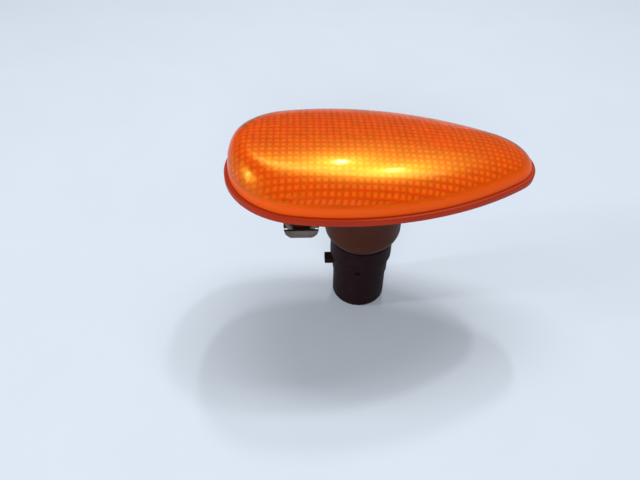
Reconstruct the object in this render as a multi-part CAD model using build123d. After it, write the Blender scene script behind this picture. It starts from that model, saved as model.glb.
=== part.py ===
"""Side repeater lamp for a car's front wing, with its twist-lock bulb holder.

Millimetres, +Z up and out through the lens. The origin is on the bulb's axis, in the plane where the gasket
meets the wing. -X is the blunt end of the lens, +X its pointed end, and -Y the side with the spring.
"""

from build123d import *
import os
from math import acos, atan2, cos, pi, sin, sqrt

# Lens: an egg-shaped flange with a crowned dome on it
LENS_LENGTH = 101.0
BLUNT_R = 27.0
TIP_R = 13.5
SIDE_R = 101.5
AXIS_FROM_BLUNT = 46.3
FLANGE_W = 1.3
FLANGE_T = 2.0
FLANGE_EDGE_R = 0.5
CROWN_H = 12.2
CROWN_FROM_BLUNT = 8.0
CROWN_FLAT = 0.03
DOME_POWER = 2.3
LENS_WALL = 2.2

# How finely the dome's surface is drawn through its points
DOME_TURNS = 48
DOME_LEVELS = 20
DOME_TOL = 0.005

# Gasket between the housing and the wing
GASKET_T = 1.2
GASKET_INSET = 3.0

# Housing: base plate, rim inside the lens, and the plug that goes through the wing
BASE_INSET = 2.0
BASE_T = 1.6
RIM_GAP = 0.15
RIM_T = 1.4
RIM_H = 1.8
PLUG_FROM_BLUNT = 10.5
PLUG_FROM_TIP = 11.5
PLUG_INSET = 10.0
PLUG_TIP_R = 6.0
PLUG_DEPTH = 6.5
PLUG_WALL = 1.8
PLUG_FLOOR = 1.8
PLUG_EDGE_R = 0.8
BASE_EDGE_R = 0.4

# Bulb bowl under the plug, with the bayonet opening in its end wall
BOWL_R = 13.5
BOWL_WALL = 1.8
BOWL_DEPTH = 25.2
BOWL_END_R = 11.2
BOWL_END_T = 2.4
SHOULDER_H = 5.0

# How the lamp holds the wing: ribs on the far side that meet the cut-out's edge, and a fixed hook at the tip
PANEL_GRIP = 2.2
RIB_X = 14.0
RIB_W = 2.4
RIB_OUT = 2.6
CUTOUT_PLAY = 0.4
HOOK_W = 8.0
HOOK_T = 2.2
HOOK_GRIP = 2.4
HOOK_EDGE_R = 0.5

# Spring on the near side, staked to a flat seat on the plug's wall
SPRING_X = -21.6
SPRING_W = 11.2
SPRING_END_W = 9.0
SPRING_T = 0.6
SPRING_BEND_R = 1.3
SPRING_DEPTH = 8.2
SPRING_PLAY = 0.4
SPRING_LEAN = 1.7
SPRING_CORNER_R = 4.4
SEAT_OUT = 0.4
STAKE_R = 1.4
STAKE_GAP = 0.05
STAKE_HEAD_R = 1.9
STAKE_HEAD_T = 0.8

# Bulb holder: core with lugs inside the bowl, then seal, flange, collar with finger tab, connector shroud
CORE_R = 7.8
CORE_UP = 9.2
CORE_GAP = 0.3
LUG_COUNT = 3
LUG_OUT = 2.4
LUG_W = 4.5
LUG_T = 1.6
LUG_GAP = 0.3
LUG_START = 90.0
TWIST = 40.0
STOP_W = 1.6
SEAL_T = 1.0
SEAL_W = 2.7
SEAL_GAP = 0.1
HOLDER_FLANGE_R = 11.2
HOLDER_FLANGE_H = 7.5
COLLAR_R = 10.2
COLLAR_H = 7.5
HOLDER_EDGE_R = 0.3
TAB_OUT = 3.1
TAB_W = 4.0
TAB_T = 2.3
TAB_UP = 2.5
MARK_W = 2.2
MARK_H = 1.6
MARK_DEPTH = 0.6
MARK_DOWN = 1.6
MARK_TURN = -10.0
SHROUD_R = 9.8
SHROUD_H = 13.5
SHROUD_WALL = 2.2
SHROUD_EDGE_R = 1.2
CAVITY_DEPTH = 12.5
KEY_W = 3.0
KEY_DEPTH = 1.0

# Contacts: brass strip, a fork round the bulb's wedge and a blade in the connector
CONTACT_X = 3.0
CONTACT_T = 0.6
FORK_W = 3.4
FORK_UP = 6.5
BLADE_W = 2.8
BLADE_T = 0.8
BLADE_OUT = 9.0

# Wedge-base bulb
WEDGE_W = 9.3
WEDGE_T = 2.1
WEDGE_H = 7.5
WEDGE_GAP = 0.1
SOCKET_GAP = 0.4
BULB_R = 5.1
BULB_LENGTH = 26.5
BULB_NECK_R = 3.4
GLASS_T = 0.6
LEAD_R = 0.25
LEAD_X = 2.4
FILAMENT_UP = 17.5
FILAMENT_R = 0.3

# Levels along Z, from the lens down to the foot
BASE_Z = GASKET_T
SEAT_Z = BASE_Z + BASE_T
DOME_Z = SEAT_Z + FLANGE_T
PLUG_FLOOR_Z = PLUG_FLOOR - PLUG_DEPTH
BOWL_END_Z = -BOWL_DEPTH
BOWL_FLOOR_Z = BOWL_END_Z + BOWL_END_T
HOLDER_TOP_Z = BOWL_END_Z - SEAL_T
COLLAR_TOP_Z = HOLDER_TOP_Z - HOLDER_FLANGE_H
SHROUD_TOP_Z = COLLAR_TOP_Z - COLLAR_H
FOOT_Z = SHROUD_TOP_Z - SHROUD_H
WEB_Z = FOOT_Z + CAVITY_DEPTH
CORE_TOP_Z = BOWL_END_Z + CORE_UP
WEDGE_Z = CORE_TOP_Z - WEDGE_H
FILAMENT_Z = WEDGE_Z + FILAMENT_UP
BULB_TOP_Z = WEDGE_Z + BULB_LENGTH
SPRING_TOP_Z = -PANEL_GRIP - SPRING_PLAY

# Places along X
BLUNT_X = -AXIS_FROM_BLUNT
CROWN_X = BLUNT_X + CROWN_FROM_BLUNT


def turn_of(way):
    """Angle of a direction from +X towards +Y."""
    return atan2(way.Y, way.X)


class Egg:
    """Outline of four tangent arcs: a blunt end, a pointed end, and two long sides."""

    def __init__(self, start, length, blunt_r, tip_r, side_r):
        self.start = start
        self.length = length
        self.blunt_r = blunt_r
        self.tip_r = tip_r
        self.side_r = side_r
        self.end = start + length
        self.blunt_centre = Vector(start + blunt_r, 0)
        self.tip_centre = Vector(self.end - tip_r, 0)
        between = length - blunt_r - tip_r
        to_blunt = side_r - blunt_r
        to_tip = side_r - tip_r
        along = (to_blunt**2 - to_tip**2 + between**2) / (2 * between)
        # The far side's arc has its centre on the near side of the axis
        self.side_centre = Vector(self.blunt_centre.X + along, -sqrt(to_blunt**2 - along**2))
        self.blunt_joint = self.on_side(self.blunt_centre)
        self.tip_joint = self.on_side(self.tip_centre)

    def on_side(self, point):
        """Point of the far side's arc on the line from its centre through another point."""
        return self.side_centre + (point - self.side_centre).normalized() * self.side_r

    def inset(self, gap):
        return Egg(
            self.start + gap,
            self.length - 2 * gap,
            self.blunt_r - gap,
            self.tip_r - gap,
            self.side_r - gap,
        )

    def side_y(self, x):
        """How far the long side stands from the axis at x."""
        return self.side_centre.Y + sqrt(self.side_r**2 - (x - self.side_centre.X) ** 2)

    def edge(self, turn):
        """Point of the far half whose outward normal is turned from +X towards +Y."""
        way = Vector(cos(turn), sin(turn))
        if turn < turn_of(self.tip_joint - self.tip_centre):
            return self.tip_centre + way * self.tip_r
        if turn < turn_of(self.blunt_joint - self.blunt_centre):
            return self.side_centre + way * self.side_r
        return self.blunt_centre + way * self.blunt_r

    def face(self, z):
        middle = self.on_side((self.blunt_joint + self.tip_joint) * 0.5)
        near = [Vector(p.X, -p.Y) for p in (self.blunt_joint, middle, self.tip_joint)]
        arcs = [
            ThreePointArc(near[0], (self.start, 0), self.blunt_joint),
            ThreePointArc(self.blunt_joint, middle, self.tip_joint),
            ThreePointArc(self.tip_joint, (self.end, 0), near[2]),
            ThreePointArc(near[2], near[1], near[0]),
        ]
        return Pos(0, 0, z) * make_face(arcs)

    def slab(self, z, height):
        return extrude(self.face(z), height, dir=(0, 0, 1))


def dome(egg, z, height):
    """Crowned solid on an egg: it draws in towards the crown as a superellipse does, the same all round."""
    crown = Vector(CROWN_X, 0)
    last_climb = acos(CROWN_FLAT ** (DOME_POWER / 2))
    rows = []
    for i in range(DOME_TURNS + 1):
        edge = egg.edge(pi * i / DOME_TURNS)
        row = []
        for j in range(DOME_LEVELS + 1):
            climb = last_climb * j / DOME_LEVELS
            share = cos(climb) ** (2 / DOME_POWER)
            rise = sin(climb) ** (2 / DOME_POWER)
            row.append(crown + (edge - crown) * share + Vector(0, 0, z + height * rise))
        rows.append(row)
    far_half = Face.make_surface_from_array_of_points(rows, tol=DOME_TOL)
    halves = [far_half, far_half.mirror(Plane.XZ)]
    bottom = Face(Wire([half.edges().sort_by(Axis.Z)[0] for half in halves]))
    top = Face(Wire([half.edges().sort_by(Axis.Z)[-1] for half in halves]))
    return Solid(Shell(halves + [bottom, top]))


def block(low, high):
    """Box between two corners."""
    low = Vector(*low)
    high = Vector(*high)
    size = high - low
    return Pos((low + high) * 0.5) * Box(size.X, size.Y, size.Z)


def rod(radius, z, height):
    """Round bar on the bulb's axis."""
    return Pos(0, 0, z) * Cylinder(radius, height, align=(Align.CENTER, Align.CENTER, Align.MIN))


def round_bottom(solid, radius):
    """The solid with the edges of its lowest face rounded."""
    return fillet(solid.edges().group_by(Axis.Z)[0], radius)


def around(solid, count, start):
    """Copies of a solid at equal angles round the bulb's axis."""
    return [Rot(0, 0, start + 360 / count * i) * solid for i in range(count)]


lens_outline = Egg(BLUNT_X, LENS_LENGTH, BLUNT_R, TIP_R, SIDE_R)
dome_outline = lens_outline.inset(FLANGE_W)
inner_outline = dome_outline.inset(LENS_WALL)
plug_outline = Egg(
    BLUNT_X + PLUG_FROM_BLUNT,
    LENS_LENGTH - PLUG_FROM_BLUNT - PLUG_FROM_TIP,
    BLUNT_R - PLUG_INSET,
    PLUG_TIP_R,
    SIDE_R - PLUG_INSET,
)
cutout_outline = plug_outline.inset(-RIB_OUT - CUTOUT_PLAY)


def make_lens():
    flange = lens_outline.slab(SEAT_Z, FLANGE_T)
    flange = fillet(flange.edges().group_by(Axis.Z)[-1], FLANGE_EDGE_R)
    hollow = dome(inner_outline, DOME_Z, CROWN_H - LENS_WALL)
    hollow += extrude(hollow.faces().sort_by(Axis.Z)[0], FLANGE_T, dir=(0, 0, -1))
    return flange + dome(dome_outline, DOME_Z, CROWN_H) - hollow


def make_gasket():
    return lens_outline.inset(GASKET_INSET).slab(0, GASKET_T) - cutout_outline.slab(0, GASKET_T)


def seat_ends():
    """Ends along X of the seat that the spring is staked to."""
    return SPRING_X - SPRING_W / 2, SPRING_X + SPRING_W / 2


def seat_y():
    """Y of the seat's flat face, which stands clear of the widest wall beside it."""
    return -max(plug_outline.side_y(x) for x in seat_ends()) - SEAT_OUT


def stake(radius, length):
    """Round bar that stands out of the spring's seat, halfway up it, towards -Y."""
    at = Pos(SPRING_X, seat_y(), -(PLUG_DEPTH + PANEL_GRIP) / 2) * Rot(90, 0, 0)
    return at * Cylinder(radius, length, align=(Align.CENTER, Align.CENTER, Align.MIN))


def make_seat():
    """Flat pad on the plug's wall, with the stake whose head holds the spring."""
    start, end = seat_ends()
    inner_y = -min(plug_outline.side_y(x) for x in seat_ends()) + PLUG_WALL
    pad = block((start, seat_y(), -PLUG_DEPTH), (end, inner_y, -PANEL_GRIP))
    pad -= plug_outline.inset(PLUG_WALL).slab(-PLUG_DEPTH, PLUG_DEPTH)
    head = stake(STAKE_HEAD_R, SPRING_T + STAKE_HEAD_T) - stake(STAKE_HEAD_R, SPRING_T)
    return pad + stake(STAKE_R, SPRING_T + STAKE_HEAD_T) + head


def make_rib(x):
    """Rib on the far wall of the plug, which the spring presses against the edge of the cut-out."""
    wall_y = plug_outline.side_y(x)
    return block((x - RIB_W / 2, wall_y - PLUG_WALL, -PLUG_DEPTH), (x + RIB_W / 2, wall_y + RIB_OUT, BASE_Z))


def make_hook():
    reach = RIB_OUT + CUTOUT_PLAY + HOOK_GRIP
    low = (plug_outline.end - PLUG_TIP_R, -HOOK_W / 2, -PANEL_GRIP - HOOK_T)
    hook = block(low, (plug_outline.end + reach, HOOK_W / 2, -PANEL_GRIP))
    return fillet(hook.edges(), HOOK_EDGE_R)


def bowl_outside():
    """Round bowl under the plug, which narrows by a tangent arc to its end wall."""
    shoulder_z = BOWL_END_Z + SHOULDER_H
    wall = Line((BOWL_R, -PLUG_DEPTH), (BOWL_R, shoulder_z))
    shoulder = TangentArc((BOWL_R, shoulder_z), (BOWL_END_R, BOWL_END_Z), tangent=(0, -1))
    rest = Polyline((BOWL_END_R, BOWL_END_Z), (0, BOWL_END_Z), (0, -PLUG_DEPTH), (BOWL_R, -PLUG_DEPTH))
    return revolve(Plane.XZ * make_face([wall, shoulder, rest]), Axis.Z)


def bayonet_opening():
    """Hole in the bowl's end wall, with the notches that the lugs come through."""
    notch_r = CORE_R + LUG_OUT + LUG_GAP
    notch_half = LUG_W / 2 + LUG_GAP
    notch = block((0, -notch_half, BOWL_END_Z), (notch_r, notch_half, BOWL_FLOOR_Z))
    notch &= rod(notch_r, BOWL_END_Z, BOWL_END_T)
    return [rod(CORE_R + CORE_GAP, BOWL_END_Z, BOWL_END_T)] + around(notch, LUG_COUNT, LUG_START - TWIST)


def make_stop():
    """Ledge on the bowl's floor that the first lug comes up against when the holder is locked."""
    side = LUG_W / 2 + LUG_GAP
    low = (CORE_R + 2 * CORE_GAP, side, BOWL_FLOOR_Z)
    ledge = block(low, (BOWL_R, side + STOP_W, BOWL_FLOOR_Z + LUG_T))
    return Rot(0, 0, LUG_START) * (ledge & rod(BOWL_R - BOWL_WALL / 2, BOWL_FLOOR_Z, LUG_T))


def make_housing():
    base = round_bottom(lens_outline.inset(BASE_INSET).slab(BASE_Z, BASE_T), BASE_EDGE_R)
    rim_outline = inner_outline.inset(RIM_GAP)
    rim = rim_outline.slab(SEAT_Z, RIM_H) - rim_outline.inset(RIM_T).slab(SEAT_Z, RIM_H)
    plug = round_bottom(plug_outline.slab(-PLUG_DEPTH, PLUG_DEPTH + BASE_Z), PLUG_EDGE_R)
    outside = base + rim + plug + bowl_outside() + make_hook() + make_rib(SPRING_X) + make_rib(RIB_X)
    plug_hollow = plug_outline.inset(PLUG_WALL).slab(PLUG_FLOOR_Z, SEAT_Z - PLUG_FLOOR_Z)
    bowl_hollow = rod(BOWL_R - BOWL_WALL, BOWL_FLOOR_Z, PLUG_FLOOR_Z - BOWL_FLOOR_Z)
    housing = outside - plug_hollow - bowl_hollow - bayonet_opening()
    return housing + make_seat() + make_stop()


def make_spring():
    """Steel strip: inner leg on the seat, a round bend at the bottom, and an outer leg that leans out."""
    inner_y = seat_y() - SPRING_T / 2
    bend_r = SPRING_BEND_R + SPRING_T / 2
    bend_z = -SPRING_DEPTH + SPRING_T / 2 + bend_r
    outer_y = inner_y - 2 * bend_r
    top_y = outer_y - SPRING_LEAN
    path = [
        Line((inner_y, SPRING_TOP_Z), (inner_y, bend_z)),
        ThreePointArc((inner_y, bend_z), (inner_y - bend_r, bend_z - bend_r), (outer_y, bend_z)),
        Line((outer_y, bend_z), (top_y, SPRING_TOP_Z)),
    ]
    strip = extrude(Plane.YZ * trace(path, SPRING_T), SPRING_W, dir=(1, 0, 0))
    front = make_face(
        Polyline(
            (-SPRING_W / 2, 0),
            (SPRING_W / 2, 0),
            (SPRING_END_W / 2, -SPRING_DEPTH),
            (-SPRING_END_W / 2, -SPRING_DEPTH),
            close=True,
        )
    )
    front = fillet(front.vertices().group_by(Axis.Y)[0], SPRING_CORNER_R)
    cutter = extrude(Plane.XZ * front, SPRING_T - top_y, dir=(0, -1, 0))
    spring = Pos(SPRING_X - SPRING_W / 2, 0, 0) * strip & Pos(SPRING_X, 0, 0) * cutter
    return spring - stake(STAKE_R + STAKE_GAP, SPRING_T)


def socket():
    """Slot in the core's top that takes the bulb's wedge and the two forks."""
    half_w = WEDGE_W / 2 + SOCKET_GAP
    half_t = WEDGE_T / 2 + WEDGE_GAP + CONTACT_T + SOCKET_GAP
    return block((-half_w, -half_t, WEDGE_Z - CONTACT_T), (half_w, half_t, CORE_TOP_Z))


def blade(side):
    """Straight blade of a contact, from under the bulb down into the connector."""
    x = side * CONTACT_X
    low = (x - BLADE_W / 2, -BLADE_T / 2, WEB_Z - BLADE_OUT)
    return block(low, (x + BLADE_W / 2, BLADE_T / 2, WEDGE_Z - CONTACT_T))


def make_contact(side):
    start = side * CONTACT_X - FORK_W / 2
    end = side * CONTACT_X + FORK_W / 2
    inside = WEDGE_T / 2 + WEDGE_GAP
    outside = inside + CONTACT_T
    fork = block((start, -outside, WEDGE_Z - CONTACT_T), (end, outside, WEDGE_Z + FORK_UP))
    fork -= block((start, -inside, WEDGE_Z), (end, inside, WEDGE_Z + FORK_UP))
    return fork + blade(side)


def make_lugs():
    lug_r = CORE_R + LUG_OUT
    lug = block((0, -LUG_W / 2, BOWL_FLOOR_Z), (lug_r, LUG_W / 2, BOWL_FLOOR_Z + LUG_T))
    return around(lug & rod(lug_r, BOWL_FLOOR_Z, LUG_T), LUG_COUNT, LUG_START)


def make_holder():
    core = rod(CORE_R, HOLDER_TOP_Z, CORE_TOP_Z - HOLDER_TOP_Z)
    flange = rod(HOLDER_FLANGE_R, COLLAR_TOP_Z, HOLDER_FLANGE_H)
    flange = fillet(flange.edges().filter_by(GeomType.CIRCLE), HOLDER_EDGE_R)
    collar = round_bottom(rod(COLLAR_R, SHROUD_TOP_Z, COLLAR_H), HOLDER_EDGE_R)
    tab_z = SHROUD_TOP_Z + TAB_UP
    tab = block((-COLLAR_R - TAB_OUT, -TAB_W / 2, tab_z), (0, TAB_W / 2, tab_z + TAB_T))
    tab = fillet(tab.edges(), HOLDER_EDGE_R)
    shroud = round_bottom(rod(SHROUD_R, FOOT_Z, SHROUD_H), SHROUD_EDGE_R)
    holder = core + flange + collar + tab + shroud + make_lugs()

    mark_z = COLLAR_TOP_Z - MARK_DOWN
    mark = block((-MARK_W / 2, -COLLAR_R, mark_z - MARK_H), (MARK_W / 2, MARK_DEPTH - COLLAR_R, mark_z))
    mark = Rot(0, 0, MARK_TURN) * mark
    cavity_r = SHROUD_R - SHROUD_WALL
    cavity = rod(cavity_r, FOOT_Z, CAVITY_DEPTH)
    key = block((-KEY_W / 2, 0, FOOT_Z), (KEY_W / 2, cavity_r + KEY_DEPTH, WEB_Z))
    return holder - [mark, cavity, key, socket(), blade(-1), blade(1)]


def make_seal():
    inner_r = CORE_R + SEAL_GAP
    return rod(inner_r + SEAL_W, HOLDER_TOP_Z, SEAL_T) - rod(inner_r, HOLDER_TOP_Z, SEAL_T)


def bulb_body(shrink):
    """Round envelope of the bulb, drawn in by shrink: a tapered neck, a straight wall and a round top."""
    radius = BULB_R - shrink
    neck_r = BULB_NECK_R - shrink
    neck_z = CORE_TOP_Z + shrink
    wall_z = neck_z + BULB_R - BULB_NECK_R
    dome_z = BULB_TOP_Z - BULB_R
    sides = Polyline((0, dome_z + radius), (0, neck_z), (neck_r, neck_z), (radius, wall_z), (radius, dome_z))
    top = CenterArc((0, dome_z), radius, 0, 90)
    return revolve(Plane.XZ * make_face([sides, top]), Axis.Z)


def make_leads():
    wire = rod(LEAD_R, WEDGE_Z, FILAMENT_UP)
    return Compound([Pos(side * LEAD_X, 0, 0) * wire for side in (-1, 1)])


def make_filament():
    at = Pos(0, 0, FILAMENT_Z + FILAMENT_R) * Rot(0, 90, 0)
    return at * Cylinder(FILAMENT_R, 2 * (LEAD_X + LEAD_R))


def make_glass():
    wedge = block((-WEDGE_W / 2, -WEDGE_T / 2, WEDGE_Z), (WEDGE_W / 2, WEDGE_T / 2, CORE_TOP_Z + GLASS_T))
    return bulb_body(0) - bulb_body(GLASS_T) + wedge - make_leads().solids()


nodes = {
    "lens": make_lens(),
    "housing": make_housing(),
    "panel_gasket": make_gasket(),
    "retaining_spring": make_spring(),
    "holder_body": make_holder(),
    "holder_seal": make_seal(),
    "contact_feed": make_contact(-1),
    "contact_earth": make_contact(1),
    "bulb_glass": make_glass(),
    "bulb_leads": make_leads(),
    "bulb_filament": make_filament(),
}

os.makedirs("parts", exist_ok=True)
for name, shape in nodes.items():
    export_step(shape, f"parts/{name}.step")
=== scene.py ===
from functools import lru_cache
from math import atan2, cos, pi, radians, sin, sqrt

import bmesh
import bpy
import numpy as np
from mathutils import Matrix, Vector


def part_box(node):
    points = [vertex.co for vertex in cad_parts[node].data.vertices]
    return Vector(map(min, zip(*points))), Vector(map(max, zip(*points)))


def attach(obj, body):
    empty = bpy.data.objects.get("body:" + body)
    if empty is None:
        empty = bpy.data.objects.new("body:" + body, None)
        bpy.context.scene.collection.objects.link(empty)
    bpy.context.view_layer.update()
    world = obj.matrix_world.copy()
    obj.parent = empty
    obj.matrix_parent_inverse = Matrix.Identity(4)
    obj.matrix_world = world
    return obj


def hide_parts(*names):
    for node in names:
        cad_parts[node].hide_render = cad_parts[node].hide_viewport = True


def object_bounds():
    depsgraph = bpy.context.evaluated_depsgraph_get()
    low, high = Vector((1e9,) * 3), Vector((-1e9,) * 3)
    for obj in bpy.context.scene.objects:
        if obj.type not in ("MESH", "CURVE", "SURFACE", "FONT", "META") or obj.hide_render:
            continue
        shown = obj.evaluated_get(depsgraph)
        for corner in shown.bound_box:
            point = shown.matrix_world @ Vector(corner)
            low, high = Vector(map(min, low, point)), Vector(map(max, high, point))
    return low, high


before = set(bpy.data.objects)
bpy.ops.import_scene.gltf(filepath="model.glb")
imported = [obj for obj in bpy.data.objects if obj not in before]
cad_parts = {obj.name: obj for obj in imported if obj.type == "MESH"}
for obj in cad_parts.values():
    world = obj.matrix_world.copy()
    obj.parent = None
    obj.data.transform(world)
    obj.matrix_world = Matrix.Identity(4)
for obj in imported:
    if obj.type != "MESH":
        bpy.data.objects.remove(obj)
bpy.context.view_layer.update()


# Bulb leads and filament: two drawn nickel-iron wires sealed in the bulb's glass wedge, and the tungsten
# wire that hangs between their ends. Bright metal, drawn along its length, a little dulled by heat.
mm = 0.001
wire_streaks_per_m = 900
wire_dull = (0.30, 0.29, 0.27)
wire_bright = (0.58, 0.56, 0.53)
coil_turns_per_m = 4000
coil_depth = 0.05 * mm
tungsten_dark = (0.10, 0.10, 0.11)
tungsten_bright = (0.30, 0.30, 0.32)


class Paint:
    """One output in a material's nodes. Arithmetic adds Math nodes, and make() adds any other node."""

    def __init__(self, tree, socket=None):
        self.tree = tree
        self.socket = socket

    def make(self, kind, settings, inputs, output=0):
        """New node of a kind, with its settings, then its sockets' values or links. Gives one output."""
        node = self.tree.nodes.new("ShaderNode" + kind)
        for name, value in settings.items():
            setattr(node, name, value)
        for name, value in inputs.items():
            if isinstance(value, Paint):
                self.tree.links.new(value.socket, node.inputs[name])
            else:
                node.inputs[name].default_value = value
        return Paint(self.tree, node.outputs[output] if node.outputs else None)

    def maths(self, operation, *values):
        """Math node on the values, in their order."""
        return self.make("Math", {"operation": operation}, dict(enumerate(values)))

    def __add__(self, other):
        return self.maths("ADD", self, other)

    def __rsub__(self, other):
        return self.maths("SUBTRACT", other, self)

    def __mul__(self, other):
        return self.maths("MULTIPLY", self, other)

    __radd__ = __add__
    __rmul__ = __mul__

    def step(self, low, high):
        """0 below low and 1 above high, with a smooth rise between them."""
        settings = {"interpolation_type": "SMOOTHSTEP"}
        return self.make("MapRange", settings, {"Value": self, "From Min": low, "From Max": high})

    def tint(self, at_0, at_1):
        """Colour between two colours, by this value."""
        ends = [end if isinstance(end, Paint) else (*end, 1) for end in (at_0, at_1)]
        return self.make("Mix", {"data_type": "RGBA"}, {0: self, 6: ends[0], 7: ends[1]}, 2)

    def axis(self, name):
        """X, Y or Z of this vector."""
        return self.make("SeparateXYZ", {}, {"Vector": self}, name)

    def noise(self, spots_per_m, detail=3.0, stretch=(1, 1, 1)):
        """Noise on these coordinates. A stretch below 1 draws the spots out along that axis."""
        place = self.make("Mapping", {}, {"Vector": self, "Scale": stretch})
        return self.make("TexNoise", {}, {"Vector": place, "Scale": spots_per_m, "Detail": detail})

    def bump(self, depth):
        """Normal of a surface raised by this value times depth, in metres."""
        return self.make("Bump", {}, {"Height": self, "Distance": depth, "Strength": 1.0})


def finish(name, look):
    """New material. Its look is a function that makes the shader from Object coordinates."""
    material = bpy.data.materials.new(name)
    material.use_nodes = True
    material.node_tree.nodes.clear()
    start = Paint(material.node_tree)
    where = start.make("TexCoord", {}, {}, "Object")
    start.make("OutputMaterial", {}, {"Surface": look(where)})
    return material


def paint_node(node, material):
    """The CAD node keeps its shape and takes this material."""
    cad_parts[node].material_slots[0].material = material


def drawn_wire(where):
    streaks = where.noise(wire_streaks_per_m, stretch=(1, 1, 0.05))
    return where.make("BsdfPrincipled", {}, {
        "Base Color": streaks.tint(wire_dull, wire_bright),
        "Metallic": 1.0,
        "Roughness": 0.25 + 0.2 * streaks,
    })


def grey_tungsten(where):
    coil = where.noise(coil_turns_per_m, stretch=(1, 0.1, 0.1))
    return where.make("BsdfPrincipled", {}, {
        "Base Color": coil.tint(tungsten_dark, tungsten_bright),
        "Metallic": 1.0,
        "Roughness": 0.35 + 0.2 * coil,
        "Normal": coil.bump(coil_depth),
    })


paint_node("bulb_leads", finish("drawn_wire", drawn_wire))
paint_node("bulb_filament", finish("grey_tungsten", grey_tungsten))


# Bulb glass: a blown clear envelope, with a wedge pressed at its open end to seal in the two wires and push
# into the contacts. The glass is thin and smooth, and slightly wavy from the blowing.
glass_waves_per_m = 180
glass_wave_depth = 0.05 * mm
glass_grey = (0.93, 0.95, 0.94)
glass_clear = (0.97, 0.98, 0.97)
glass_ior = 1.5


def clear_glass(where):
    waves = where.noise(glass_waves_per_m, detail=1.0)
    return where.make("BsdfPrincipled", {}, {
        "Base Color": waves.tint(glass_grey, glass_clear),
        "Roughness": 0.02 + 0.03 * waves,
        "IOR": glass_ior,
        "Transmission Weight": 1.0,
        "Normal": waves.bump(glass_wave_depth),
    })


paint_node("bulb_glass", finish("clear_glass", clear_glass))


# Contacts: brass strip, stamped and folded into a fork round the bulb's wedge and a blade in the connector.
# Pushed into the moulding. The rolled grain runs along them, and handling has browned the brass a little.
brass_grain_per_m = 700
brass_grain_depth = 0.01 * mm
tarnish_per_m = 260
brass_bright = (0.62, 0.42, 0.14)
brass_brown = (0.42, 0.25, 0.08)


def stamped_brass(where):
    grain = where.noise(brass_grain_per_m, stretch=(1, 1, 0.06))
    tarnish = where.noise(tarnish_per_m, detail=4.0)
    return where.make("BsdfPrincipled", {}, {
        "Base Color": tarnish.step(0.35, 0.75).tint(brass_bright, brass_brown),
        "Metallic": 1.0,
        "Roughness": 0.28 + 0.18 * grain + 0.1 * tarnish,
        "Normal": grain.bump(brass_grain_depth),
    })


brass = finish("stamped_brass", stamped_brass)
paint_node("contact_feed", brass)
paint_node("contact_earth", brass)


# Bulb holder: one moulding in black glass-filled nylon, with lugs, a flange, a finger tab and the connector
# shroud. The mould left a fine spark-eroded grain, and rubbing has polished it in places. Its black is the
# nylon's own, with a faint maroon cast of painted orange light from the lens.
nylon_grain_per_m = 2600
nylon_grain_depth = 0.02 * mm
nylon_fibres_per_m = 600
nylon_rubs_per_m = 90
# The maroon cast in both blacks is painted orange light from the lens
nylon_black = (0.009, 0.003, 0.004)
nylon_brown_black = (0.018, 0.007, 0.008)


def black_nylon(where):
    grain = where.noise(nylon_grain_per_m, detail=2.0)
    rubbed = where.noise(nylon_rubs_per_m, detail=4.0).step(0.5, 0.8)
    fibres = where.noise(nylon_fibres_per_m, detail=2.0)
    return where.make("BsdfPrincipled", {}, {
        "Base Color": fibres.tint(nylon_black, nylon_brown_black),
        "Roughness": 0.52 - 0.14 * rubbed + 0.1 * grain,
        "Specular IOR Level": 0.07,
        "Normal": grain.bump(nylon_grain_depth),
    })


paint_node("holder_body", finish("black_nylon", black_nylon))


# Holder seal: a moulded ring of black rubber round the holder's core. The twist squeezes it between the
# holder's flange and the housing. The rubber is matt and finely pored, with a grey bloom in places.
rubber_pores_per_m = 2200
rubber_pore_depth = 0.03 * mm
rubber_bloom_per_m = 140
rubber_black = (0.014, 0.014, 0.014)
rubber_grey = (0.040, 0.039, 0.037)


def black_rubber(where):
    bloom = where.noise(rubber_bloom_per_m, detail=5.0)
    pores = where.noise(rubber_pores_per_m, detail=2.0)
    return where.make("BsdfPrincipled", {}, {
        "Base Color": bloom.step(0.4, 0.75).tint(rubber_black, rubber_grey),
        "Roughness": 0.72 + 0.2 * bloom,
        "Normal": pores.bump(rubber_pore_depth),
    })


rubber = finish("black_rubber", black_rubber)
paint_node("holder_seal", rubber)


# Housing: one moulding in dark brown plastic, with the bulb's bowl, the plug, the hook and the ribs. Its
# reddish brown is partly the plastic's own colour and partly painted orange light from the lens. Its inside
# is sprayed white, so that the bulb's light goes out through the lens. White is what faces the middle of the
# inside, within the plug's walls or above the back of the base plate.
housing_grain_per_m = 1800
housing_grain_depth = 0.02 * mm
housing_cloud_per_m = 120
housing_scuffs_per_m = 300
# Both browns are partly the plastic's own colour and partly painted orange light from the lens
housing_dark_orange_light = (0.046, 0.012, 0.007)
housing_brown_orange_light = (0.068, 0.019, 0.011)
sprayed_white = (0.97, 0.97, 0.96)
spray_middle = (0, 0, 6 * mm)
spray_edge = 0.2 * mm
spray_half_width = 17.0 * mm
spray_end_x = 42.2 * mm
spray_plate_z = 2.5 * mm
spray_plate_edge = 0.1 * mm


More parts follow.
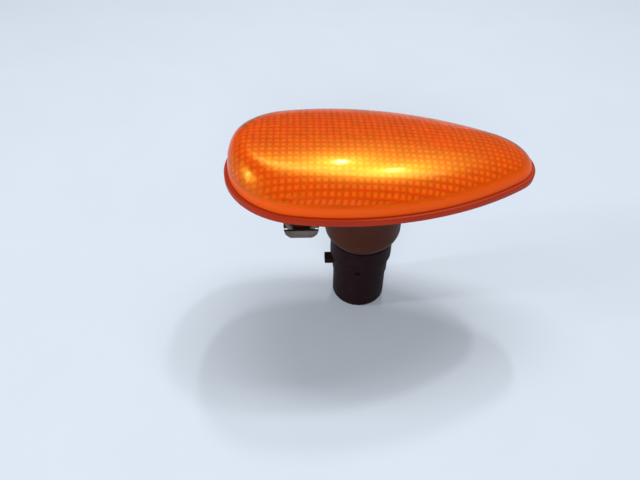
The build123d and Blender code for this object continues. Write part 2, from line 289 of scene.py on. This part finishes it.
def dark_housing(where):
    grain = where.noise(housing_grain_per_m, detail=2.0)
    cloud = where.noise(housing_cloud_per_m, detail=4.0)
    scuffs = where.noise(housing_scuffs_per_m, detail=3.0, stretch=(1, 1, 0.3)).step(0.62, 0.78)
    normal = where.make("TexCoord", {}, {}, "Normal")
    inward = where.make("VectorMath", {"operation": "SUBTRACT"}, {0: spray_middle, 1: where})
    facing = where.make("VectorMath", {"operation": "DOT_PRODUCT"}, {0: normal, 1: inward}, "Value")
    across = where.maths("ABSOLUTE", where.axis("Y"))
    beside_plug = across.step(spray_half_width, spray_half_width + spray_edge)
    past_plug = where.axis("X").step(spray_end_x, spray_end_x + spray_edge)
    over_plate = where.axis("Z").step(spray_plate_z, spray_plate_z + spray_plate_edge)
    covered = where.maths("MAXIMUM", (1 - beside_plug) * (1 - past_plug), over_plate)
    sprayed = facing.step(0, spray_edge) * covered
    return where.make("BsdfPrincipled", {}, {
        "Base Color": sprayed.tint(cloud.tint(housing_dark_orange_light, housing_brown_orange_light), sprayed_white),
        "Roughness": 0.42 + 0.12 * grain + 0.12 * scuffs,
        "Specular IOR Level": 0.08,
        "Normal": grain.bump(housing_grain_depth),
    })


paint_node("housing", finish("dark_housing", dark_housing))


# Lens: an amber acrylic moulding with a flat flange, welded to the housing. A grid of small pillows on its
# inside spreads the bulb's light. The wall is clear with a little dye in it, which fills the plain border and
# the flange, and the dome's outside is polished. Painted shade darkens the grooves between the pillows, the
# flange and the top of the dome, and painted glints lighten the middle of each pillow.
lens_low, lens_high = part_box("lens")
blunt_r = 27 * mm
tip_r = 13.5 * mm
side_r = 101.5 * mm
crown_from_blunt = 8 * mm
flange_width = 1.3 * mm
flange_thick = 2.0 * mm
flange_edge = 0.5 * mm
lens_wall = 2.2 * mm
dome_power = 2.3
tip_steps = 28
side_steps = 40
blunt_steps = 36
dome_levels = 30
border_levels = dome_levels // 3
cap_climb = 0.99
border_share = 0.9985
inside_cad = 0.01 * mm
weld_distance = 0.01 * mm
sharp_from = radians(35)

crown = Vector((lens_low.x + crown_from_blunt, 0, 0))
dome_z = lens_low.z + flange_thick
outer_height = lens_high.z - dome_z
inner_height = lens_high.z - dome_z - lens_wall
inner_inset = flange_width + lens_wall
blunt_centre = Vector((lens_low.x + blunt_r, 0, 0))
tip_centre = Vector((lens_high.x - tip_r, 0, 0))
between = tip_centre.x - blunt_centre.x
along = ((side_r - blunt_r) ** 2 - (side_r - tip_r) ** 2 + between**2) / (2 * between)
side_centre = Vector((blunt_centre.x + along, -sqrt((side_r - blunt_r) ** 2 - along**2), 0))
tip_turn = atan2(-side_centre.y, tip_centre.x - side_centre.x)
blunt_turn = atan2(-side_centre.y, blunt_centre.x - side_centre.x)


def arc_at(turn, inset):
    """Centre and radius of the arc that holds the outline's point with this normal, drawn in by inset."""
    if turn < tip_turn:
        return tip_centre, tip_r - inset
    if turn < blunt_turn:
        return side_centre, side_r - inset
    return blunt_centre, blunt_r - inset


def reach(point, inset):
    """Distance from the crown to the outline, drawn in by inset, through a point."""
    ray = Vector((point.x - crown.x, abs(point.y), 0)).normalized()

    def to_circle(centre, radius):
        to_centre = centre - crown
        ahead = ray.dot(to_centre)
        return ahead + sqrt(max(ahead**2 - to_centre.dot(to_centre) + radius**2, 0))

    far = to_circle(side_centre, side_r - inset)
    touch = crown + ray * far - side_centre
    return to_circle(*arc_at(atan2(touch.y, touch.x), inset))


def raise_dome(mesh, face, height, levels, last):
    """The face is drawn up and in towards the crown, level by level, as far as the last climb."""
    share_was, rise_was = 1.0, 0.0
    about_crown = Matrix.Translation(-crown)
    for level in range(1, levels + 1):
        climb = last * level / levels * pi / 2
        share = cos(climb) ** (2 / dome_power)
        rise = height * sin(climb) ** (2 / dome_power)
        face = bmesh.ops.extrude_discrete_faces(mesh, faces=[face])["faces"][0]
        shrink = share / share_was
        bmesh.ops.scale(mesh, vec=(shrink, shrink, 1), space=about_crown, verts=face.verts)
        bmesh.ops.translate(mesh, vec=(0, 0, rise - rise_was), verts=face.verts)
        share_was, rise_was = share, rise
    return face


# The outline is one half turned out of three arcs, mirrored and filled
shell = bmesh.new()
shell.loops.layers.uv.new("pillows")
last = [shell.verts.new((lens_high.x - inside_cad, 0, lens_low.z))]
turns = (
    (tip_centre, tip_turn, tip_steps),
    (side_centre, blunt_turn - tip_turn, side_steps),
    (blunt_centre, pi - blunt_turn, blunt_steps),
)
for centre, angle, steps in turns:
    spun = bmesh.ops.spin(shell, geom=last, cent=centre, axis=(0, 0, 1), angle=angle, steps=steps)
    last = spun["geom_last"]
bmesh.ops.mirror(shell, geom=shell.verts[:] + shell.edges[:], axis="Y", merge_dist=weld_distance)
outline = bmesh.ops.contextual_create(shell, geom=shell.edges)["faces"][0]

# Outside: up the flange's edge, in along its top, then up the dome to a small cap
top = bmesh.ops.extrude_discrete_faces(shell, faces=[outline])["faces"][0]
bmesh.ops.translate(shell, vec=(0, 0, flange_thick), verts=top.verts)
flange_top_edges = top.edges[:]
bmesh.ops.inset_individual(shell, faces=[top], thickness=flange_width, use_even_offset=True)
cap = raise_dome(shell, top, outer_height, dome_levels, cap_climb)
bmesh.ops.poke(shell, faces=[cap])

# Inside: in along the flange's underside, up past it, and up the dome's plain border
rim = [edge for edge in shell.edges if edge.is_boundary]
under = bmesh.ops.contextual_create(shell, geom=rim)["faces"][0]
bmesh.ops.inset_individual(shell, faces=[under], thickness=inner_inset, use_even_offset=True)
hollow = bmesh.ops.extrude_discrete_faces(shell, faces=[under])["faces"][0]
bmesh.ops.translate(shell, vec=(0, 0, flange_thick), verts=hollow.verts)
border_climb = 2 / pi * atan2(sqrt(1 - border_share**dome_power), border_share ** (dome_power / 2))
border = raise_dome(shell, hollow, inner_height, border_levels, border_climb)
bmesh.ops.delete(shell, geom=[border], context="FACES_ONLY")

# Optics: a flat grid bent down over the inner dome, with each square bulged into a pillow, then trimmed
pillow_pitch = 2.1 * mm
pillow_sag = 0.40 * mm
pillow_steps = 7
columns_back = 7
columns_ahead = 46
columns = columns_back + columns_ahead
rows = 32
section_steps = 400
trim_share = border_share - 0.0015
trim_cuts = 120
trim_distance = 0.001 * mm
fade_share = 0.02


@lru_cache(None)
def section(edge):
    """Ways walked down the inner dome from its crown to an edge, and the shares of the edge reached there."""
    climbs = np.linspace(pi / 2, 0, section_steps)
    shares = np.cos(climbs) ** (2 / dome_power)
    rises = inner_height * np.sin(climbs) ** (2 / dome_power)
    ways = np.hypot(np.diff(shares) * edge, np.diff(rises)).cumsum()
    return np.insert(ways, 0, 0), shares


def pillow(distance):
    """Bulge across one square, from 0 at its sides to 1 in its middle."""
    from_side = distance / pillow_pitch % 1
    return 1 - (2 * from_side - 1) ** 2


grid_middle = Vector(((columns_ahead - columns_back) / 2 * pillow_pitch, 0, 0))
grid_size = Matrix.Diagonal((columns * pillow_pitch, rows * pillow_pitch, 1, 1))
optics = bmesh.new()
optics.loops.layers.uv.new("pillows")
bmesh.ops.create_grid(
    optics,
    x_segments=columns * pillow_steps,
    y_segments=rows * pillow_steps,
    size=0.5,
    matrix=Matrix.Translation(crown + grid_middle) @ grid_size,
    calc_uvs=True,
)
bulges = []
for vert in optics.verts:
    flat = vert.co - crown
    edge = reach(vert.co, inner_inset)
    ways, shares = section(round(edge, 5))
    share = float(np.interp(flat.length, ways, shares))
    fade = min(max((trim_share - share) / fade_share, 0), 1)
    bulges.append(pillow_sag * fade * (pillow(flat.x) + pillow(flat.y)))
    rise = inner_height * (1 - share**dome_power) ** (1 / dome_power)
    vert.co = crown + flat.normalized() * share * edge + Vector((0, 0, dome_z + rise))
optics.normal_update()
for vert, bulge in zip(optics.verts, bulges):
    vert.co -= vert.normal * bulge
for i in range(trim_cuts):
    turn = 2 * pi * (i + 0.5) / trim_cuts
    way = Vector((cos(turn), sin(turn), 0))
    centre, radius = arc_at(atan2(abs(way.y), way.x), inner_inset)
    touch = centre + Vector((way.x, abs(way.y), 0)) * radius
    touch.y *= 1 if way.y > 0 else -1
    bmesh.ops.bisect_plane(
        optics,
        geom=optics.verts[:] + optics.edges[:] + optics.faces[:],
        dist=trim_distance,
        plane_co=crown + (touch - crown) * trim_share,
        plane_no=way,
        clear_outer=True,
    )
optics_mesh = bpy.data.meshes.new("optics")
optics.to_mesh(optics_mesh)
optics.free()
shell.from_mesh(optics_mesh)
bpy.data.meshes.remove(optics_mesh)
loose = [edge for edge in shell.edges if edge.is_boundary]
bmesh.ops.bridge_loops(shell, edges=loose)

# Last, the flange's top edge is rounded
bmesh.ops.bevel(
    shell,
    geom=flange_top_edges,
    offset=flange_edge,
    offset_type="OFFSET",
    segments=4,
    profile=0.5,
    affect="EDGES",
    material=-1,
)
bmesh.ops.recalc_face_normals(shell, faces=shell.faces[:])
for face in shell.faces:
    face.smooth = True
lens_mesh = bpy.data.meshes.new("lens_moulding")
shell.to_mesh(lens_mesh)
shell.free()
lens_mesh.set_sharp_from_angle(angle=sharp_from)
lens = bpy.data.objects.new("lens_moulding", lens_mesh)
bpy.context.scene.collection.objects.link(lens)

amber_cloud_per_m = 60
amber_rubs_per_m = 500
amber_ior = 1.18
amber_deep = (0.995, 0.37, 0.008)
amber_light = (1.0, 0.42, 0.012)
amber_glint = (1.0, 0.75, 0.35, 1)
dye_orange = (1.0, 0.12, 0.002)
# Painted shade: the dome turns from orange to a darker red over its top 4 mm
crown_shade_red = (0.92, 0.065, 0.002)
crown_shade_depth = 4 * mm
# Painted shade: the flange is painted a dark red
flange_shade_dark = (0.34, 0.019, 0.002)
flange_shade_red = (0.43, 0.030, 0.003)
# Painted shade along the grooves between the pillows, and painted glints over their middles
pillow_groove_shade = (0.90, 0.10, 0.005)
pillow_glint = (1.0, 0.37, 0.012)
polish_deep = (1.0, 0.70, 0.035)
polish_light = (1.0, 0.80, 0.06)
polish_edge = (1.0, 0.5, 0.1, 1)
flange_z = (dome_z - 0.1 * mm, dome_z + 0.5 * mm)
border_z = (dome_z + 2.1 * mm, dome_z + 4.5 * mm)
dome_dye = 0.16
border_dye = 0.62
flange_dye = 0.14
pillow_dye = 0.76
polish = 0.12


def pillow_face(where, count):
    """0 at the sides of each of a number of squares in a row, and 1 over the middle of each."""
    return where.maths("PINGPONG", where * count, 0.5).step(0.06, 0.36)


def amber_acrylic(where):
    cloud = where.noise(amber_cloud_per_m, detail=2.0)
    rubs = where.noise(amber_rubs_per_m, detail=4.0, stretch=(0.3, 1, 1)).step(0.5, 0.9)
    height = where.axis("Z")
    on_flange = 1 - height.step(*flange_z)
    on_border = 1 - height.step(*border_z)
    grid = where.make("UVMap", {"uv_map": "pillows"}, {}, "UV")
    on_optics = grid.axis("X").step(0, 0.001)
    middle = pillow_face(grid.axis("X"), columns) * pillow_face(grid.axis("Y"), rows)
    clear = where.make("BsdfPrincipled", {}, {
        "Base Color": cloud.tint(amber_deep, amber_light),
        "Roughness": 0.08 + 0.06 * rubs,
        "IOR": amber_ior,
        "Specular Tint": amber_glint,
        "Transmission Weight": 1.0,
    })
    # The top of the dome is painted a darker red, as shade
    dome_colour_and_shade = height.step(lens_high.z - crown_shade_depth, lens_high.z).tint(dye_orange, crown_shade_red)
    # The flange takes its painted dark red shade here
    skin_colour_and_shade = on_flange.tint(dome_colour_and_shade, cloud.tint(flange_shade_dark, flange_shade_red))
    # Each pillow is painted darker along its grooves as shade and lighter over its middle as a glint
    pillow_shade_and_glint = (middle * (0.6 + 0.6 * cloud)).tint(pillow_groove_shade, pillow_glint)
    dyed_and_painted = where.make("BsdfPrincipled", {}, {
        "Base Color": on_optics.tint(skin_colour_and_shade, pillow_shade_and_glint),
        "Roughness": 0.4 + 0.1 * rubs,
        "Specular IOR Level": 0.2,
    })
    dye = dome_dye + border_dye * on_border + flange_dye * on_flange + pillow_dye * on_optics
    body = where.make("MixShader", {}, {0: dye, 1: clear, 2: dyed_and_painted})
    polished = where.make("BsdfPrincipled", {}, {
        "Base Color": cloud.tint(polish_deep, polish_light),
        "Metallic": 1.0,
        "Specular Tint": polish_edge,
        "Roughness": 0.30 + 0.05 * rubs,
    })
    gloss = polish * (1 - on_border) * (1 - on_optics)
    return where.make("MixShader", {}, {0: gloss, 1: body, 2: polished})


lens_mesh.materials.append(finish("amber_acrylic", amber_acrylic))
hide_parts("lens")
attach(lens, "lamp_body")


# Gasket: a flat ring cut from black sponge rubber, laid on the back of the housing's base plate. The lamp
# presses it against the wing, to keep the water out. It has the same rubber finish as the holder's seal.
paint_node("panel_gasket", rubber)


# Retaining spring: a strip of rolled spring steel, bent to a U and staked to the plug. Its outer leg snaps
# behind the edge of the cut-out in the wing. Its warm brown tint is a painted reflection of the orange lens
# on the steel's own grey.
rolled_streaks_per_m = 900
rolled_depth = 0.01 * mm
steel_stain_per_m = 220
# Both steel colours carry a painted warm reflection of the orange lens. The stains are darker patches
steel_clean_orange_reflection = (0.28, 0.21, 0.17)
steel_stained_orange_reflection = (0.17, 0.12, 0.09)


def spring_steel(where):
    rolled = where.noise(rolled_streaks_per_m, stretch=(1, 0.06, 0.06))
    stain = where.noise(steel_stain_per_m, detail=4.0)
    return where.make("BsdfPrincipled", {}, {
        "Base Color": stain.step(0.4, 0.8).tint(steel_clean_orange_reflection, steel_stained_orange_reflection),
        "Metallic": 1.0,
        "Roughness": 0.26 + 0.2 * rolled,
        "Normal": rolled.bump(rolled_depth),
    })


paint_node("retaining_spring", finish("spring_steel", spring_steel))


# Table: a plain pale board, painted matt, that the lamp stands on with the end of its connector shroud. It
# fades out well away from the lamp, where the sky behind it is as pale.
table_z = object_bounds()[0][2]
table_half = 3.0
table_fade = (0.25, 1.0)
table_mottle_per_m = 30
table_dark = (0.60, 0.67, 0.75)
table_pale = (0.63, 0.70, 0.78)

table_mesh = bpy.data.meshes.new("table")
board = bmesh.new()
bmesh.ops.create_grid(
    board,
    x_segments=1,
    y_segments=1,
    size=table_half,
    matrix=Matrix.Translation((0, 0, table_z)),
)
board.to_mesh(table_mesh)
board.free()
table = bpy.data.objects.new("table", table_mesh)
bpy.context.scene.collection.objects.link(table)


def pale_table(where):
    mottle = where.noise(table_mottle_per_m, detail=3.0)
    from_lamp = where.make("VectorMath", {"operation": "LENGTH"}, {0: where}, "Value")
    return where.make("BsdfPrincipled", {}, {
        "Base Color": mottle.tint(table_dark, table_pale),
        "Roughness": 0.85,
        "Specular IOR Level": 0.2,
        "Alpha": 1 - from_lamp.step(*table_fade),
    })


table_mesh.materials.append(finish("pale_table", pale_table))


# Lights: a broad softbox overhead, one in front that only lights and isn't reflected, two small lamps and a
# strip on the left, with an even sky. The camera sees the sky as pale as the table. Gloss and glass see that
# below the horizon, and the dimmer sky above it.
sky_dim = (0.24, 0.24, 0.25)
sky_pale = (0.62, 0.69, 0.77)
horizon = (-0.02, 0.15)
lens_middle = Vector(((lens_low.x + lens_high.x) / 2, 0, lens_low.z))


def softbox(name, towards, distance, width, height, power):
    """Area light that stands off in a direction from the lens and faces it."""
    way = Vector(towards).normalized()
    area = bpy.data.lights.new(name, "AREA")
    area.shape = "ELLIPSE"
    area.size = width
    area.size_y = height
    area.energy = power
    lamp = bpy.data.objects.new(name, area)
    lamp.location = lens_middle + way * distance
    lamp.rotation_euler = way.to_track_quat("Z", "Y").to_euler()
    bpy.context.scene.collection.objects.link(lamp)
    return lamp


softbox("overhead", (0.06, 0.33, 0.94), distance=0.9, width=0.90, height=0.18, power=3.6)
front = softbox("front", (-0.10, -0.86, 0.50), distance=0.9, width=0.60, height=0.40, power=4.2)
front.visible_glossy = False
softbox("small_left", (0.105, 0.53, 0.84), distance=0.85, width=0.035, height=0.08, power=1.2)
softbox("small_right", (0.285, 0.37, 0.885), distance=0.85, width=0.05, height=0.07, power=1.1)
softbox("left_strip", (-0.93, -0.12, 0.34), distance=0.9, width=0.06, height=0.50, power=2.2)

sky = bpy.data.worlds.new("sky")
sky.use_nodes = True
sky.node_tree.nodes.clear()
start = Paint(sky.node_tree)
by_camera = start.make("LightPath", {}, {}, "Is Camera Ray")
by_gloss = start.make("LightPath", {}, {}, "Is Glossy Ray")
through_glass = start.make("LightPath", {}, {}, "Is Transmission Ray")
below = 1 - start.make("TexCoord", {}, {}, "Generated").axis("Z").step(*horizon)
sky_colour = (by_camera + (by_gloss + through_glass) * below).tint(sky_dim, sky_pale)
start.make("OutputWorld", {}, {"Surface": start.make("Background", {}, {"Color": sky_colour})})
bpy.context.scene.world = sky


# Camera: where the photograph was taken from, in front of the lamp and above it. Its lens and its place were
# fitted to the outline of the lamp's lens, with nothing out of focus.
camera_place = Vector((-20.64, -148.72, 111.2)) * mm
camera_pitch = radians(43.2)
camera_yaw = radians(2.15)
camera_roll = radians(0.6)
camera_sensor_mm = 36
camera_lens_mm = 31.5
camera_near = 0.005

ahead = Vector((sin(camera_yaw), cos(camera_yaw), 0))
forward = ahead * cos(camera_pitch) - Vector((0, 0, sin(camera_pitch)))
level = forward.cross(Vector((0, 0, 1))).normalized()
right = level * cos(camera_roll) + level.cross(forward) * sin(camera_roll)
upward = right.cross(forward)
camera_data = bpy.data.cameras.new("camera")
camera_data.sensor_width = camera_sensor_mm
camera_data.lens = camera_lens_mm
camera_data.clip_start = camera_near
camera = bpy.data.objects.new("camera", camera_data)
camera.matrix_world = Matrix((right, upward, -forward)).transposed().to_4x4()
camera.location = camera_place
bpy.context.scene.collection.objects.link(camera)
bpy.context.scene.camera = camera
bpy.context.scene.view_settings.view_transform = "Standard"
